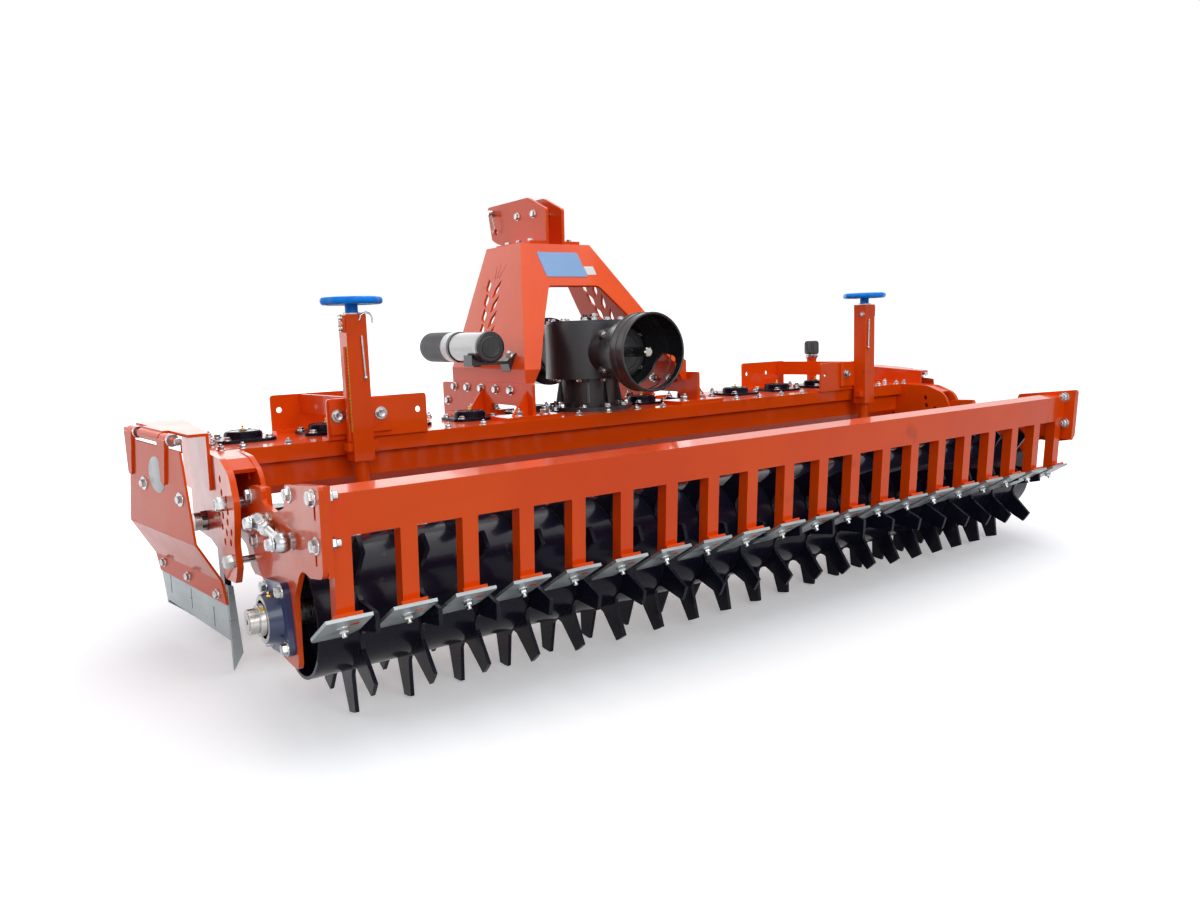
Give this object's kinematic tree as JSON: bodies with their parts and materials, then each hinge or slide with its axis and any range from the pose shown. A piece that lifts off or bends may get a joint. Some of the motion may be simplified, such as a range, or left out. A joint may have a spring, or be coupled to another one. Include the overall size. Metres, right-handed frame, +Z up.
{
  "type": "power harrow",
  "caption": "Three-point rotary power harrow with gear trough, tined rotors, toothed packer roller with scraper beam, headstock with offset gearbox and side shields.",
  "frame": {"origin": "centre of the bounding box on the ground plane the machine stands on", "axes": "+X to the machine's right, along the row of rotors; +Y forwards, towards the tractor; +Z up"},
  "size_m": [3.3696, 1.6896, 1.3623],
  "materials": {
    "orange_paint": "gloss",
    "black_paint": "gloss",
    "black_plastic": "gloss",
    "navy_paint": "satin",
    "zinc_steel": "satin",
    "bare_steel": "satin",
    "wear_steel": "satin",
    "silver_tube": "satin",
    "blue_plastic": "satin"
  },
  "bodies": {
    "chassis": {"gear_trough": "orange_paint", "bearing_caps": "black_paint", "oil_filler": "black_plastic", "sector_plates": "orange_paint", "arm_pivot_pins": "zinc_steel", "stop_pins": "zinc_steel", "headstock": "orange_paint", "headstock_feet": "orange_paint", "top_link_bracket": "orange_paint", "top_link_pin": "zinc_steel", "gearbox": "black_paint", "pto_guard_rear": "black_plastic", "pto_guard_front": "black_plastic", "document_tube": "silver_tube", "document_tube_bracket": "black_paint", "spindle_posts": "orange_paint", "cross_brackets": "orange_paint", "handwheels": "blue_plastic", "shield_brackets": "orange_paint"},
    "rotor_body_01": {"rotor_01": "black_paint"},
    "rotor_body_02": {"rotor_02": "black_paint"},
    "rotor_body_03": {"rotor_03": "black_paint"},
    "rotor_body_04": {"rotor_04": "black_paint"},
    "rotor_body_05": {"rotor_05": "black_paint"},
    "rotor_body_06": {"rotor_06": "black_paint"},
    "rotor_body_07": {"rotor_07": "black_paint"},
    "rotor_body_08": {"rotor_08": "black_paint"},
    "rotor_body_09": {"rotor_09": "black_paint"},
    "rotor_body_10": {"rotor_10": "black_paint"},
    "rotor_body_11": {"rotor_11": "black_paint"},
    "rotor_body_12": {"rotor_12": "black_paint"},
    "pto_line": {"pto_shaft": "bare_steel"},
    "roller_frame": {"roller_side_frames": "orange_paint", "scraper_beam": "orange_paint", "scraper_blades": "wear_steel", "roller_bearings": "navy_paint", "scraper_adjusters": "zinc_steel"},
    "roller": {"roller_drum": "black_paint", "roller_shaft": "bare_steel"},
    "levelling_board": {"levelling_bar": "orange_paint"},
    "shield_left": {"side_shield_left": "orange_paint", "shield_wear_plate_left": "wear_steel"},
    "shield_right": {"side_shield_right": "orange_paint", "shield_wear_plate_right": "wear_steel"}
  },
  "joints": [
    {"name": "rotor_spin_01", "type": "hinge", "parent": "chassis", "child": "rotor_body_01", "pos_m": [-1.375, 0.14748, 0.33786], "axis": [0, 0.0558, 0.9984], "continuous": true},
    {"name": "rotor_spin_02", "type": "hinge", "parent": "chassis", "child": "rotor_body_02", "pos_m": [-1.125, 0.14748, 0.33786], "axis": [0, 0.0558, 0.9984], "continuous": true},
    {"name": "rotor_spin_03", "type": "hinge", "parent": "chassis", "child": "rotor_body_03", "pos_m": [-0.875, 0.14748, 0.33786], "axis": [0, 0.0558, 0.9984], "continuous": true},
    {"name": "rotor_spin_04", "type": "hinge", "parent": "chassis", "child": "rotor_body_04", "pos_m": [-0.625, 0.14748, 0.33786], "axis": [0, 0.0558, 0.9984], "continuous": true},
    {"name": "rotor_spin_05", "type": "hinge", "parent": "chassis", "child": "rotor_body_05", "pos_m": [-0.375, 0.14748, 0.33786], "axis": [0, 0.0558, 0.9984], "continuous": true},
    {"name": "rotor_spin_06", "type": "hinge", "parent": "chassis", "child": "rotor_body_06", "pos_m": [-0.125, 0.14748, 0.33786], "axis": [0, 0.0558, 0.9984], "continuous": true},
    {"name": "rotor_spin_07", "type": "hinge", "parent": "chassis", "child": "rotor_body_07", "pos_m": [0.125, 0.14748, 0.33786], "axis": [0, 0.0558, 0.9984], "continuous": true},
    {"name": "rotor_spin_08", "type": "hinge", "parent": "chassis", "child": "rotor_body_08", "pos_m": [0.375, 0.14748, 0.33786], "axis": [0, 0.0558, 0.9984], "continuous": true},
    {"name": "rotor_spin_09", "type": "hinge", "parent": "chassis", "child": "rotor_body_09", "pos_m": [0.625, 0.14748, 0.33786], "axis": [0, 0.0558, 0.9984], "continuous": true},
    {"name": "rotor_spin_10", "type": "hinge", "parent": "chassis", "child": "rotor_body_10", "pos_m": [0.875, 0.14748, 0.33786], "axis": [0, 0.0558, 0.9984], "continuous": true},
    {"name": "rotor_spin_11", "type": "hinge", "parent": "chassis", "child": "rotor_body_11", "pos_m": [1.125, 0.14748, 0.33786], "axis": [0, 0.0558, 0.9984], "continuous": true},
    {"name": "rotor_spin_12", "type": "hinge", "parent": "chassis", "child": "rotor_body_12", "pos_m": [1.375, 0.14748, 0.33786], "axis": [0, 0.0558, 0.9984], "continuous": true},
    {"name": "pto_spin", "type": "hinge", "parent": "chassis", "child": "pto_line", "pos_m": [-0.125, 0.17237, 0.78317], "axis": [0, 0.9984, -0.0558], "continuous": true},
    {"name": "roller_frame_lift", "type": "hinge", "parent": "chassis", "child": "roller_frame", "pos_m": [0, 0.003, 0.385], "axis": [-1, 0, 0], "range_deg": [-3.9, 0]},
    {"name": "roller_spin", "type": "hinge", "parent": "roller_frame", "child": "roller", "pos_m": [0, -0.531, 0.262], "axis": [1, 0, 0], "continuous": true},
    {"name": "levelling_board_height", "type": "slide", "parent": "chassis", "child": "levelling_board", "axis": [0, 0.0558, 0.9984], "range_m": [-0.04, 0.12]},
    {"name": "shield_left_swing", "type": "hinge", "parent": "chassis", "child": "shield_left", "pos_m": [-1.601, -0.071, 0.625], "axis": [-0.225, 0.9744, 0], "range_deg": [0, 35]},
    {"name": "shield_right_swing", "type": "hinge", "parent": "chassis", "child": "shield_right", "pos_m": [1.601, -0.071, 0.625], "axis": [-0.225, -0.9744, 0], "range_deg": [0, 35]}
  ],
  "couplings": [
    {"joint": "rotor_spin_01", "follows": "rotor_spin_06", "ratio": -1},
    {"joint": "rotor_spin_02", "follows": "rotor_spin_06", "ratio": 1},
    {"joint": "rotor_spin_03", "follows": "rotor_spin_06", "ratio": -1},
    {"joint": "rotor_spin_04", "follows": "rotor_spin_06", "ratio": 1},
    {"joint": "rotor_spin_05", "follows": "rotor_spin_06", "ratio": -1},
    {"joint": "rotor_spin_07", "follows": "rotor_spin_06", "ratio": -1},
    {"joint": "rotor_spin_08", "follows": "rotor_spin_06", "ratio": 1},
    {"joint": "rotor_spin_09", "follows": "rotor_spin_06", "ratio": -1},
    {"joint": "rotor_spin_10", "follows": "rotor_spin_06", "ratio": 1},
    {"joint": "rotor_spin_11", "follows": "rotor_spin_06", "ratio": -1},
    {"joint": "rotor_spin_12", "follows": "rotor_spin_06", "ratio": 1},
    {"joint": "pto_spin", "follows": "rotor_spin_06", "ratio": 3}
  ]
}
